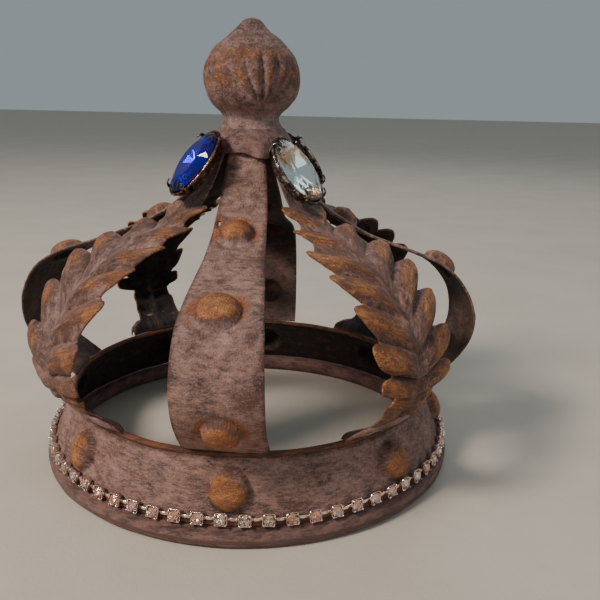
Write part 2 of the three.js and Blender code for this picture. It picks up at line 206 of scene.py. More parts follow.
class Section:
    """The outer face of an arch: where it is, and which way it faces, by distance along it."""

    def __init__(self, points):
        path = spline(points, 40)
        steps = np.hypot(*np.diff(path, axis=0).T)
        self.s = np.concatenate([[0], np.cumsum(steps)])
        self.path = path
        self.tangent = np.gradient(path, axis=0)
        self.tangent /= np.hypot(*self.tangent.T)[:, None]
        self.length = self.s[-1]

    def at(self, s, values):
        return np.interp(s, self.s, values[:, 0]), np.interp(s, self.s, values[:, 1])

    def place(self, s, across, raised):
        """The point on the arch, which bends round the crown's axis near both ends."""
        r, z = self.at(s, self.path)
        tr, tz = self.at(s, self.tangent)
        share = np.interp(s, [0, 24, 60, 95, self.length], [1, 0.15, 0, 0.4, 1])
        turn = across / r
        r = r - tz * raised
        x = r * (1 - share * (1 - np.cos(turn)))
        y = across * (1 - share) + share * r * np.sin(turn)
        return grid(x, y, z + tr * raised)


# ---- meshes
def facing(angle):
    """Turns a shape made along +X to an angle from the front, growing to the right."""
    return Matrix.Rotation(math.radians(angle - 90), 4, "Z")


def add_attributes(mesh, values, flow):
    for name, numbers in values.items():
        layer = mesh.attributes.new(name, "FLOAT", "POINT")
        layer.data.foreach_set("value", np.asarray(numbers, np.float32).ravel())
    layer = mesh.attributes.new("flow", "FLOAT_VECTOR", "POINT")
    layer.data.foreach_set("vector", (np.asarray(flow, np.float32) * MM).ravel())


def weld(mesh, distance=1e-6):
    bm = bmesh.new()
    bm.from_mesh(mesh)
    bmesh.ops.remove_doubles(bm, verts=bm.verts, dist=distance)
    bmesh.ops.recalc_face_normals(bm, faces=bm.faces)
    bm.to_mesh(mesh)
    bm.free()


def sheet_piece(name, outer, inner, flow, marks, angle=0, cells=None, wrap=False):
    """A closed sheet between two grids of points. marks are numbers for each outer point that the
    materials read; cells says which squares of the grid are there."""
    rows, columns = outer.shape[:2]
    index = np.arange(rows * columns).reshape(rows, columns)
    if wrap:
        index = np.hstack([index, index[:, :1]])
    if cells is None:
        cells = np.ones((index.shape[0] - 1, index.shape[1] - 1), bool)
    corners = [index[:-1, :-1], index[1:, :-1], index[1:, 1:], index[:-1, 1:]]
    quads = np.stack([c[cells] for c in corners], axis=-1)
    below = rows * columns
    faces = [quads, quads[:, ::-1] + below]
    around = np.pad(cells, 1, constant_values=False)
    if wrap:
        around[:, 0], around[:, -1] = around[:, -2], around[:, 1]
    sides = [  # the neighbour that is missing, and the edge it leaves open
        (around[1:-1, :-2], 0, 1), (around[2:, 1:-1], 1, 2),
        (around[1:-1, 2:], 2, 3), (around[:-2, 1:-1], 3, 0),
    ]
    for neighbour, first, second in sides:
        open_edge = cells & ~neighbour
        a, b = corners[first][open_edge], corners[second][open_edge]
        faces.append(np.stack([b, a, a + below, b + below], axis=-1))
    points = np.concatenate([outer.reshape(-1, 3), inner.reshape(-1, 3)]) * MM
    turn = np.array(facing(angle).to_3x3())
    points = points @ turn.T
    mesh = bpy.data.meshes.new(name)
    mesh.from_pydata(points.tolist(), [], np.concatenate(faces).tolist())
    zero = np.zeros(below)
    marks = dict(marks)
    inside = np.ravel(marks.pop("inside", zero + 1))
    values = {}
    for key, mark in marks.items():
        values[key] = np.concatenate([np.ravel(mark), np.ravel(mark) * (1 - inside)])
    values["inside"] = np.concatenate([zero, inside])
    add_attributes(mesh, values, np.concatenate([flow.reshape(-1, 3)] * 2))
    bm = bmesh.new()
    bm.from_mesh(mesh)
    bmesh.ops.delete(bm, geom=[v for v in bm.verts if not v.link_faces], context="VERTS")
    bmesh.ops.remove_doubles(bm, verts=bm.verts, dist=1e-6)
    bm.to_mesh(mesh)
    bm.free()
    mesh.shade_smooth()
    return link(name, mesh)


def to_mesh(name, bm):
    """A mesh of what was built, with its faces turned outwards."""
    bmesh.ops.recalc_face_normals(bm, faces=bm.faces)
    mesh = bpy.data.meshes.new(name)
    bm.to_mesh(mesh)
    bm.free()
    return mesh


def mesh_piece(name, bm, slot, node, smooth_faces=False):
    mesh = to_mesh(name, bm)
    if smooth_faces:
        mesh.shade_smooth()
    return finish(link(name, mesh), slot, node)


def lip(distance, thickness):
    """How far each face of a sheet rounds off near an edge."""
    near = np.clip(1 - distance / (thickness / 2), 0, 1)
    return thickness / 2 * (1 - np.sqrt(1 - near * near))


def with_edges(low, high, count, rim):
    """Even steps, with three more close to each end."""
    ends = np.array([0, 0.12, 0.42]) * rim
    return np.concatenate([low + ends, np.linspace(low + rim, high - rim, count), (high - ends)[::-1]])


def snap_to_circles(s, across, circles, reach):
    """Moves grid points that are near a circle onto it, so that a boss has a crisp foot."""
    for s0, a0, radius in circles:
        ds, da = s - s0, across - a0
        d = np.hypot(ds, da)
        near = np.abs(d - radius) < reach
        scale = np.where(near, radius / np.maximum(d, 1e-6), 1)
        s, across = s0 + ds * scale, a0 + da * scale
    return s, across


def boss(d, radius, height):
    """A pressed dome: steep at its foot, round on top, in a shallow drawn-in ring."""
    x = np.clip(d / radius, 0, 1)
    dome = height * (1 - x**2.3) ** 0.56
    ring = -0.35 * bell(d - radius, 0.7, 1.1) * (d >= radius)
    return dome + ring


def boss_marks(ds, da, radius, bare, seed):
    """How gilded, rusty and dusty a boss is. bare is the direction, down and across, in which its
    gold has rubbed off, and is longer the more is gone."""
    d = np.hypot(ds, da) / radius
    blot = ripples(ds, da, 6, seed) + 0.5 * ripples(ds, da, 2.5, seed + 1)
    gone = (ds * bare[0] + da * bare[1]) / radius + 0.12 * blot
    gild = (1 - smooth(d, 0.72, 1.02)) * (1 - smooth(gone, 0.35, 0.75))
    beside = np.abs(da) / radius + 0.5 * blot - 0.3 * ds / radius
    halo = bell(d, 1.12, 0.28) * smooth(beside, 0.5, 1.2)
    dust = bell(d, 1.03, 0.13) * smooth(ds / radius + 0.15 * blot, 0.25, 0.8)
    return gild, halo, dust


def boss_shade(d, radius, gild):
    """Painted shade in a ring on a boss's steep side, and darker tin wherever its gold is gone."""
    side = bell(d / radius, 0.95, 0.12)
    return np.maximum(side, 0.7 * (1 - smooth(d / radius, 0.85, 1.0)) * (1 - gild))


def pressed_bosses(down, across, circles, bare_sides, seed, dusty):
    """What the domes add to a sheet: height, gold, rust round their feet, dust, and shade: painted
    shade on their steep sides and darker tin where their gold is gone. dusty is how much of that shade
    the dust hides."""
    raised, gild, rust, dust, shade = (0 * down for _ in range(5))
    for i, (down0, across0, radius) in enumerate(circles):
        kind = i % len(bare_sides)
        ds, da = down - down0, across - across0
        d = np.hypot(ds, da)
        raised = raised + boss(d, radius, BOSS_HEIGHT)
        on, halo, grey = boss_marks(ds, da, radius, bare_sides[kind], seed + kind)
        gild, rust, dust = np.maximum(gild, on), np.maximum(rust, halo), np.maximum(dust, grey)
        shade = np.maximum(shade, boss_shade(d, radius, on) * (1 - dusty * grey))
    return raised, gild, rust, dust, shade


# ---- straps
def strap(side, angle, bulge, twist, gilding, seed, torn=False):
    """A plain arch: a sheet that widens downwards, with three domes pressed out of it."""
    section = Section([(r + bulge * float(smooth(r, 68, 78)), z) for r, z in STRAP_SECTION])
    s_line = with_edges(0, section.length, 190, SHEET / 2)
    fraction = with_edges(-1, 1, 40, 0.03)
    s, u = np.meshgrid(s_line, fraction, indexing="ij")
    width = np.interp(s, *zip(*STRAP_HALF_WIDTH)) + 0.15 * ripples(s, s * 0, 30, seed)
    across = u * width
    rng = np.random.default_rng(seed)
    sway = (-0.9, -1.2, 0.8) if torn else rng.uniform(-0.8, 0.8, 3)
    circles = [(s0, off, radius) for (s0, radius), off in zip(STRAP_BOSSES, sway)]
    moved_s, moved_across = snap_to_circles(s, across, circles, 0.4)
    inner_part = (np.abs(u) < 0.96) & (s > 1) & (s < section.length - 1)
    s, across = np.where(inner_part, moved_s, s), np.where(inner_part, moved_across, across)
    raised = 0.22 * ripples(s, across, 26, seed + 1) + 0.05 * ripples(s, across, 5, seed + 2) - 0.35
    raised = raised - 0.35 * smooth(np.abs(u), 0.8, 1)
    bare_sides = [(0.75, 0.25)] * len(circles)
    domes, gild, rust, dust, shade = pressed_bosses(s, across, circles, bare_sides, seed + 10, dusty=1)
    raised = raised + domes
    gild = gild * gilding
    turned = math.tan(math.radians(twist)) * np.interp(s, [12, 35, 95, 120], [0, 1, 1, 0])
    raised = raised - across * turned
    edge = np.minimum((1 - np.abs(u)) * width, np.minimum(s, section.length - s).clip(0))
    # Wear at the sheet's edges, with the domes' painted shade
    worn = np.maximum(1 - smooth(edge, 0.1, 1.6 + 0.8 * ripples(s, across, 9, seed + 3)), shade)
    off = lip(edge, SHEET)
    cells = np.ones((s.shape[0] - 1, s.shape[1] - 1), bool)
    if torn:  # the press tore the sheet beside the upper boss
        d = np.hypot((s - TEAR[0]) / 1.15, (across - TEAR[1]) / 0.5)
        cells = (d[:-1, :-1] + d[1:, 1:]) / 2 > 1
        rust = np.maximum(rust, 1 - smooth(d, 1, 3))
        worn = np.maximum(worn, 1.5 * (1 - smooth(d, 1.5, 4)))
        raised = raised + 0.5 * bell(d, 3.0, 1) - 0.7 * bell(d, 0, 2.2)
    outer = section.place(s, across, raised - off)
    inner = section.place(s, across, raised - SHEET + off)
    flow = grid(s, across, 40 * seed)
    # Lower down the arch the inner face takes 45% of the outer colours: painted light where the light
    # reaches inside.
    inside = smooth(edge, 0.2, 1.0) * (1 - 0.45 * smooth(s, 82, 104))
    marks = {"gild": gild, "rust": rust, "worn": worn, "dust": dust, "inside": inside}
    piece = sheet_piece(f"{side}_strap_sheet", outer, inner, flow, marks, angle, cells)
    return finish(piece, "grey_tin", f"{side}_strap")


# ---- leaves
def leaf_outline(stretch):
    """Keys down one side of a leaf: distance along it, half the width, and how far through its
    lobe each key is (whole numbers are the notches). stretch sets the lower lobes further down."""
    keys = [(0, LEAF_STEM, -2), (9, LEAF_STEM + 0.8, -1)]
    for i, (tip, width) in enumerate(LOBE_TIPS):
        tip = tip + stretch * float(smooth(tip, 60, 100))
        keys += [
            (tip - 1.6, max(width - LOBE_NOTCH, LEAF_STEM + 1.6), i),
            (tip - 1.1, width - 1.6, i + 0.16),
            (tip + 0.5, width, i + 0.34),
            (tip + 4.0, width - 0.7, i + 0.58),
            (tip + 7.4, width - 2.6, i + 0.82),
        ]
    lobes = len(LOBE_TIPS)
    neck, narrow = LEAF_NECK
    neck = neck + stretch
    return keys[:-1] + [
        (neck + 1, narrow + 1, lobes), (neck + 4.2, narrow + 1.4, lobes + 0.5),
    ]


def leaf(side, angle, stretch, seed, gilding, dusting):
    """A leaf arch: seven pairs of pressed fingers that sweep up from a sunk midrib, and a foot
    that flares along the band."""
    section = Section(LEAF_SECTION)
    end = section.length
    last = end - 0.2
    foot = [(end - 8.5, 10.2, 9), (end - 5.5, 12.5, 9), (end - 3.2, LEAF_LIP - 1.2, 9),
            (last, LEAF_LIP - 0.6, 9)]
    edge_s, width, phase = spline(leaf_outline(stretch) + foot, 7).T
    rows = np.arange(len(edge_s))
    climb = FINGER_CLIMB * (1 - 0.85 * smooth(edge_s, 62, 116))
    midrib = np.maximum.accumulate(edge_s + climb * np.minimum(width, edge_s) + rows * 1e-3)
    midrib = np.minimum(midrib, last - rows[::-1] * 0.02)
    edge_s, width, phase, midrib = (values[:, None] for values in (edge_s, width, phase, midrib))
    u = with_edges(-1, 1, 51, 0.025)[None, :]
    out = np.abs(u)
    through = phase - np.floor(phase)
    finger = np.floor(phase) + np.where(u < 0, 40, 0)
    rng = np.random.default_rng(seed)
    size = rng.uniform(0.93, 1.05, 80)[finger.astype(int)]
    height = rng.uniform(0.8, 1.2, 80)[finger.astype(int)]
    softly = np.sin(math.pi * np.clip(through, 0, 1))
    half = width * (1 + (size - 1) * softly)
    across = u * half
    s = midrib - (midrib - edge_s) * out**0.72
    lobed = smooth(phase, 0, 0.6) * (1 - smooth(phase, 8.5, 9.0))
    ridge = softly**0.55
    reach = smooth(out, 0.04, 0.34) * (1 - 0.2 * smooth(out, 0.8, 1))
    raised = 3.1 * height * lobed * (ridge - 0.75) * reach
    raised = raised - 1.2 * bell(across, 0, 2.0) * smooth(s, 10, 25) * (1 - smooth(s, end - 12, end - 6))
    raised = raised - 1.5 * out**2 * smooth(s, 15, 40) * (1 - smooth(s, end - 16, end - 6))
    raised = raised + 0.4 * ripples(s, across, 17, seed)
    along = out * half
    raised = raised + 0.17 * ripples(phase * 11, along * 0.45 + u, 2.4, seed + 1, 14)
    # Below the curled lip the sheet is painted dark as the lip's shadow: its wash is thinned away and it
    # gets no gold, rust or dust.
    lip_shadow = smooth(s, end - 6.4, end - 4.6)
    edge = np.minimum((1 - out) * half, np.minimum(s - s[0], last - s)).clip(0)
    off = lip(edge, SHEET)
    blot = ripples(s, across, 9, seed + 2)
    crest = smooth(ridge, 0.45, 0.95) * smooth(out, 0.15, 0.6) * lobed
    rim = (1 - smooth(edge, 0.4, 1.8)) * lobed * smooth(blot, -0.5, 0.6)
    gild = np.maximum(crest * (0.55 + 0.3 * blot), rim * 0.55) * gilding
    gild = (gild + lobed * 0.2 * gilding) * (1 - lip_shadow)
    rust = smooth(s, 92, end) * smooth(blot, -0.3, 0.9) * 0.7 * (1 - lip_shadow)
    valley = 1 - smooth(ridge, 0.1, 0.75)
    dust = dusting * np.maximum(bell(across, 0, 3.0), 0.75 * valley * reach * lobed) * (1 - lip_shadow)
    # Less dust leaves a thinner wash, and the lip's painted shadow thins it away.
    worn = np.maximum((1 - dusting) * 0.35, 2.5 * lip_shadow)
    outer = section.place(s, across, raised - off)
    inner = section.place(s, across, raised - SHEET + off)
    layer = np.sign(u) * 3 * smooth(out, 0, 0.3) + seed
    flow = grid(phase * 11, along, layer)
    inside = smooth(edge, 0.2, 1.0)
    marks = {"gild": gild, "rust": rust, "worn": worn, "dust": dust, "inside": inside}
    piece = sheet_piece(f"{side}_leaf_sheet", outer, inner, flow, marks, angle)
    return finish(piece, "gilded_tin", f"{side}_leaf")


def leaf_lip(side, angle, seed):
    """The leaf's lower edge, curled outwards into a thick lip that arches over the hem."""
    bm = bmesh.new()
    share = np.linspace(-1, 1, 25)
    arch = (1 - share**2) ** 0.6
    turn = share * LEAF_LIP / LIP_RADIUS
    r = LIP_RADIUS + LIP_OUT * arch + 0.25 * ripples(share * 17, share, 6, seed)
    z = BAND_TOP + HEM_RADIUS + 0.3 + LIP_RISE * arch + 0.2 * ripples(share * 17, share, 5, seed + 1)
    sweep(bm, polar(r, turn, z), 1.9, 0.7, (0.5, 0, 0.87), 0.35 + 0.65 * arch)
    mesh = to_mesh(f"{side}_leaf_lip", bm)
    places = np.array([vert.co for vert in mesh.vertices]) / MM
    # Heavy pale dust over the lip, which also stands for painted light where the curled edge catches it.
    dust = {"dust": 0.75 + 0.4 * ripples(places[:, 1], places[:, 2] * 3, 5, seed)}
    add_attributes(mesh, dust, places * (1, 0.6, 1) + seed)
    mesh.transform(facing(angle))
    mesh.shade_smooth()
    finish(link(mesh.name, mesh), "gilded_tin", f"{side}_leaf")


# ---- band, rim and hem
def band_radius(z):
    return BAND_FOOT_RADIUS - BAND_LEAN * (z - BAND_FOOT)


def ring_grid(circumference_steps, values):
    return np.meshgrid(values, full_turn(circumference_steps), indexing="ij")


def band():
    """The circlet: a leaning sheet with a dome pressed out below each arch."""
    top = BAND_TOP - HEM_RADIUS * 0.6
    slant = math.hypot(1, BAND_LEAN)
    height = (top - BAND_FOOT) * slant
    rise, angle = ring_grid(700, with_edges(0, height, 28, SHEET / 2)[::-1])
    mean_radius = band_radius(BAND_BOSS_Z)
    arc = angle * mean_radius
    centre_rise = (BAND_BOSS_Z - BAND_FOOT) * slant
    circles = [(centre_rise, math.radians(turn) * mean_radius, BAND_BOSS_RADIUS)
               for turn, _ in BAND_BOSSES + [(BAND_BOSSES[0][0] + 360, None)]]
    rise, arc = snap_to_circles(rise, arc, circles, 0.38)
    angle = arc / mean_radius
    x, y = mean_radius * np.cos(angle), mean_radius * np.sin(angle)
    raised = 0.25 * ripples(x, y, 40, 5) + 0.07 * ripples(x + rise, y - rise, 7, 6) - 0.1
    circles = [(-rise0, arc0, radius) for rise0, arc0, radius in circles]
    bare_sides = [bare for _, bare in BAND_BOSSES]
    domes, gild, rust, dust, shade = pressed_bosses(-rise, arc, circles, bare_sides, 60, dusty=0)
    raised, dust = raised + domes, 0.6 * dust
    edge = np.minimum(rise, height - rise)
    rust = np.maximum(0.3 * rust, 0.55 * (1 - smooth(rise, 0.3, 2.2 + ripples(arc, rise, 9, 12))))
    # Wear at the sheet's edges, with the domes' painted shade
    worn = np.maximum(1 - smooth(edge, 0.3, 2.0), shade)
    off = lip(edge, SHEET)
    tilt = math.atan(BAND_LEAN)

    def point(lift):
        r = band_radius(BAND_FOOT) - rise * math.sin(tilt) + lift * math.cos(tilt)
        z = BAND_FOOT + rise * math.cos(tilt) + lift * math.sin(tilt)
        return polar(r, angle, z)

    flow = grid(x, y, 1.7 * rise)
    marks = {"gild": gild, "rust": rust, "worn": worn, "dust": dust}
    outer, inner = point(raised - off), point(raised - SHEET + off)
    piece = sheet_piece("band_sheet", outer, inner, flow, marks, wrap=True)
    return finish(piece, "grey_tin", "circlet_band")


def bead(name, node, slot, section, wobble, seed, steps=360):
    """A rolled edge: a closed section turned about the axis, a little uneven by hand."""
    outline = np.array(section)
    count = len(outline)
    turn = full_turn(steps)
    middle = outline.mean(axis=0)
    points, flow = [], []
    for i, (r, z) in enumerate(outline):
        swell = wobble * ripples(np.cos(turn) * 80 + 9 * z, np.sin(turn) * 80 + 5 * r, 22, seed)
        away = np.array([r, z]) - middle
        away = away / np.hypot(*away)
        rr = r + away[0] * swell
        zz = np.maximum(z + away[1] * swell * (z > 0.2), 0)
        points.append(polar(rr, turn, zz))
        flow.append(grid(turn * r, i * 1.2, 300 + seed))
    index = np.arange(count * steps).reshape(count, steps)
    after = np.roll(index, -1, axis=1)
    quads = np.stack([index, after, np.roll(after, -1, axis=0), np.roll(index, -1, axis=0)], axis=-1)
    mesh = bpy.data.meshes.new(name)
    mesh.from_pydata((np.concatenate(points) * MM).tolist(), [], quads.reshape(-1, 4).tolist())
    add_attributes(mesh, {}, np.concatenate(flow))
    weld(mesh)
    mesh.shade_smooth()
    return finish(link(name, mesh), slot, node)


def round_section(r0, z0, half_width, half_height, count, power=2.0, flat=None):
    """A rounded closed section, squarer as power grows, and flat below if asked."""
    points = []
    for i in range(count):
        angle = 2 * math.pi * i / count
        c, s = math.cos(angle), math.sin(angle)
        z = z0 + half_height * squarer(s, 2 / power)
        if flat is not None:
            z = max(z, flat)
        points.append((r0 + half_width * squarer(c, 2 / power), z))
    return points


# ---- finial
def turned_piece(name, node, slot, section, shape, steps, per_span, thickness, marks=None, drop=None):
    """A shell of revolution, with its thickness inwards. shape(angle, r, z) says how far each
    point moves out, and drop(angle) how far the lower edge hangs down."""
    line = spline(section, per_span)
    tangent = np.gradient(line, axis=0)
    tangent /= np.maximum(np.hypot(*tangent.T), 1e-9)[:, None]
    along = np.concatenate([[0], np.cumsum(np.hypot(*np.diff(line, axis=0).T))])
    angle = full_turn(steps)[None, :]
    r, z = line[:, :1], line[:, 1:]
    outwards = -1 if z[0, 0] > z[-1, 0] else 1  # a section may be listed from the top down
    nr, nz = outwards * tangent[:, 1:], -outwards * tangent[:, :1]
    push = shape(angle, r, z)
    hang = 0 * push
    if drop:
        low = (z.max() - z) / (z.max() - z.min())
        hang = drop(angle) * low**2

    def point(lift):
        rr, zz = r + nr * lift + 0.35 * hang, z + nz * lift - hang
        rr = np.where(r < 0.01, 0, np.maximum(rr, 0.02))
        return polar(rr, angle, zz)

    flow = polar(r, angle, along[:, None])
    given = marks(angle + 0 * r, z + 0 * angle, push) if marks else {}
    grids = [point(push), point(push - thickness), flow]
    if outwards > 0:
        grids = [grid[::-1] for grid in grids]
        given = {key: value[::-1] for key, value in given.items()}
    piece = sheet_piece(name, *grids, given, 90, wrap=True)
    return finish(piece, slot, node)


FANS = 3
FAN_FOLDS = 2.6  # folds on each half of a fan
FAN_TURN = math.radians(20 - 90)  # one fan of flutes faces a little to the right of the front


def bud_flutes(angle, r, z):
    """Three fans of flutes: each fan's folds start together low on the belly and spread upwards."""
    sector = 2 * math.pi / FANS
    local = (angle - FAN_TURN + sector / 2) % sector - sector / 2
    spread = np.interp(z, [128, 131, 135, 141, 147, 152], [0.18, 0.3, 0.56, 0.88, 1.1, 1.15])
    x = local / spread
    fold = np.abs(np.sin(math.pi * FAN_FOLDS * x)) ** 0.6
    inside = 1 - smooth(np.abs(x), 0.95, 1.15)
    outward = 1 - 0.55 * smooth(np.abs(x), 0.4, 0.7)
    top = 151.5 - 4.5 * np.abs(x) - 2.5 * np.abs(np.cos(math.pi * FAN_FOLDS * x))
    height = smooth(z, 128.5, 134) * (1 - smooth(z, top - 4.5, top))
    dents = 0.25 * ripples(r * np.cos(angle), r * np.sin(angle) + z, 9, 31) * smooth(z, 122, 130)
    return (fold - 0.92) * 2.3 * inside * outward * height + dents * (1 - smooth(z, 153, 158)) - 0.1


def bud_marks(angle, z, push):
    blot = ripples(angle * 16, z, 9, 33)
    belly = smooth(z, 131, 139) * (1 - smooth(z + blot, 147, 152))
    valley = 1 - smooth(push, -0.9, -0.2)
    gild = belly * (0.42 + 0.3 * blot) * (1 - valley) + 0.12 * smooth(z, 150, 154)
    dust = np.maximum(0.9 * (1 - smooth(z + blot, 127, 134)), 0.2 + valley * 0.6)
    worn = 0.35 * smooth(z, 148, 153) + 0.4 * bell(z, 131, 3) * smooth(blot, -0.2, 0.6)
    return {"gild": gild, "rust": 0 * z, "worn": worn, "dust": dust}


def skirt_folds(angle, r, z):
    """Hand-crimped folds, deeper towards the skirt's lower edge."""
    low = 1 - smooth(z, 114.8, 119.5)
    x, y = 16 * np.cos(angle), 16 * np.sin(angle)
    return (0.5 * ripples(x, y, 8, 41) + 0.45 * ripples(x + z, y - z, 4, 42) - 0.1) * low


def skirt_drop(angle):
    """How far the skirt's torn lower edge hangs down, with a tongue right of the front strap."""
    x, y = 16 * np.cos(angle), 16 * np.sin(angle)
    tongue = bell(angle, math.radians(360 + 21 - 90), 0.2)
    return 0.5 + 0.6 * ripples(x, y, 7, 43) + 2.0 * tongue


# ---- stones and settings
def stone_frame(angle, turn, lift):
    """The place of a large stone: its table's middle, with +X down the arch and +Z outwards."""
    radius, height = STONE_FACE
    turned = Matrix.Rotation(math.radians(turn), 4, "Z")
    tilt = Matrix.Rotation(math.radians(90 - STONE_CLIMB), 4, "Y")
    return facing(angle) @ Matrix.Translation(Vector((radius, 0, height + lift)) * MM) @ turned @ tilt


def oval_ring(half_length, half_width, z, count, turn=0.0):
    angle = full_turn(count) + turn
    return grid(half_length * np.cos(angle), half_width * np.sin(angle), z)


def cut_stone(name, node, slot, place):
    """An oval faceted stone: table, crown facets, thin girdle and pavilion facets."""
    count = 16
    half_turn = math.pi / count
    a, b = STONE_LENGTH / 2, STONE_WIDTH / 2
    crown, deep = -STONE_CROWN, -STONE_CROWN - STONE_PAVILION
    rings = [
        oval_ring(a * 0.60, b * 0.60, 0, count, half_turn),
        oval_ring(a * 0.84, b * 0.84, crown * 0.42, count),
        oval_ring(a * 0.985, b * 0.985, crown * 0.9, 2 * count),
        oval_ring(a * 0.985, b * 0.985, crown - 0.25, 2 * count),
        oval_ring(a * 0.62, b * 0.58, crown - STONE_PAVILION * 0.55, count, half_turn),
        oval_ring(a * 0.16, b * 0.05, deep, count),
    ]
    bm = bmesh.new()
    verts = [[bm.verts.new(Vector(p) * MM) for p in ring] for ring in rings]
    table, bezel, girdle, under, belly, culet = verts
    bm.faces.new(table)
    foil = []
    for i in range(count):
        h, j = (i - 1) % count, (i + 1) % count  # the facets before and after
        first, middle, last = 2 * i, 2 * i + 1, (2 * i + 2) % (2 * count)
        for facet in (
            (table[h], bezel[i], table[i]), (table[i], bezel[i], girdle[middle], bezel[j]),
            (bezel[i], girdle[first], girdle[middle]), (bezel[j], girdle[middle], girdle[last]),
        ):
            bm.faces.new(facet)
        foil += [
            (under[first], belly[i], under[middle]), (under[middle], belly[i], under[last]),
            (under[first], belly[h], belly[i]), (belly[h], culet[i], belly[i]),
            (belly[i], culet[i], culet[j]),
        ]
    for i in range(2 * count):
        j = (i + 1) % (2 * count)
        foil.append((girdle[i], under[i], under[j], girdle[j]))
    foil.append(culet[::-1])
    for facet in foil:
        bm.faces.new(facet).material_index = 1
    bm.transform(place)
    piece = mesh_piece(name, bm, slot, node)
    piece.data.materials.append(FOILS[slot])
    return piece


def wall(bm, low, high):
    """Faces between two rings of vertices."""
    for i in range(len(low)):
        j = (i + 1) % len(low)
        bm.faces.new((low[i], low[j], high[j], high[i]))


def loft(bm, rings):
    """Walls between rings of points, one after the other, and back to the first."""
    verts = [[bm.verts.new(Vector(p) * MM) for p in ring] for ring in rings]
    for low, high in zip(verts, verts[1:] + verts[:1]):
        wall(bm, low, high)


def sweep(bm, path, half_width, half_thick, side, taper=1.0):
    """A flat bar along a path, closed at both ends, with its width along side. taper is its size
    at the end, or its size at each point."""
    path = [Vector(p) for p in path]
    side = Vector(side).normalized()
    rings = []
    for i, point in enumerate(path):
        ahead = path[min(i + 1, len(path) - 1)] - path[max(i - 1, 0)]
        normal = side.cross(ahead.normalized())
        scale = taper[i] if isinstance(taper, np.ndarray) else 1 + (taper - 1) * i / (len(path) - 1)
        w, t = half_width * scale, half_thick * scale
        ring = []
        for k in range(8):
            turn = 2 * math.pi * (k + 0.5) / 8
            c, s = math.cos(turn), math.sin(turn)
            ring.append(point + side * (w * squarer(c, 0.6)) + normal * (t * squarer(s, 0.6)))
        rings.append([bm.verts.new(p * MM) for p in ring])
    for low, high in zip(rings, rings[1:]):
        wall(bm, low, high)
    bm.faces.new(rings[0][::-1])
    bm.faces.new(rings[-1])


SETTING_WALL = 0.55
SETTING_RIBS = 44
CLAWS = (38, 142, 218, 322)  # degrees round the stone


def claw_setting(name, node, slot, place):
    """An oval cup: a beaded upper rail, a ribbed wall drawn in to a lower rail, and four claws."""
    a, b = STONE_LENGTH / 2 + 0.3, STONE_WIDTH / 2 + 0.3
    top, floor = -STONE_CROWN - 0.1, -SETTING_DEPTH
    wall = SETTING_WALL
    count = SETTING_RIBS * 4
    bm = bmesh.new()
    outline = [  # change of both half-axes, height, depth of the ribs
        (0.1, top, 0), (wall, top + 0.15, 0), (wall + 0.25, top - 0.3, 0), (wall + 0.1, top - 0.8, 0),
        (wall * 0.2, top - 1.1, 0.2), (-0.6, (top + floor) / 2, 0.3), (-1.7, floor + 1.4, 0.2),
        (-1.9, floor + 1.1, 0), (-1.9, floor + 0.5, 0), (-2.4, floor, 0), (-5.0, floor, 0),
        (-5.0, floor + 0.5, 0), (-3.0, floor + 0.6, 0), (-2.2, floor + 1.7, 0), (-0.15, top - 1.5, 0),
    ]
    turn = full_turn(count)
    rib = np.clip(np.cos(turn * SETTING_RIBS), -0.6, 0.6) / 0.6
    rings = []
    for change, z, depth in outline:
        x, y = (a + change + depth * rib) * np.cos(turn), (b + change + depth * rib) * np.sin(turn)
        rings.append(grid(x, y, z))
    loft(bm, rings)
    for turned in CLAWS:
        c, s = math.cos(math.radians(turned)), math.sin(math.radians(turned))
        out = Vector((c / a, s / b, 0)).normalized()
        base = Vector(((a + wall) * c, (b + wall) * s, 0))
        path = [base * share + Vector((0, 0, z)) for share, z in (
            (0.84, floor + 0.9), (0.96, floor + 2.4), (1.02, top - 0.6), (1.02, top + 0.6),
            (0.985, top + 1.4), (0.93, top + 1.75), (0.86, top + 2.0))]
        sweep(bm, path, 0.95, 0.34, out.cross(Vector((0, 0, 1))), 0.6)
    bm.transform(place)
    return mesh_piece(name, bm, slot, node, smooth_faces=True)


# ---- chain
def chain_frames():
    """Where each cup of the chain is: +X out of the band, +Y along the chain."""
    back = band_radius(CHAIN_Z) + 0.2
    rng = np.random.default_rng(3)
    frames = []
    for i in range(CHAIN_CUPS):
        turn = (i - (CHAIN_CUPS - 1) / 2) * CHAIN_PITCH
        wave = 0.22 * math.sin(i * 0.83) + rng.uniform(-0.12, 0.12)
        lean = Matrix.Rotation(math.radians(rng.uniform(-4, 4) - 10), 4, "Y")
        roll = Matrix.Rotation(math.radians(rng.uniform(-5, 5)), 4, "X")
        place = Matrix.Translation(Vector((back, 0, CHAIN_Z + wave)) * MM)
        frames.append(facing(turn) @ place @ lean @ roll)
    return frames


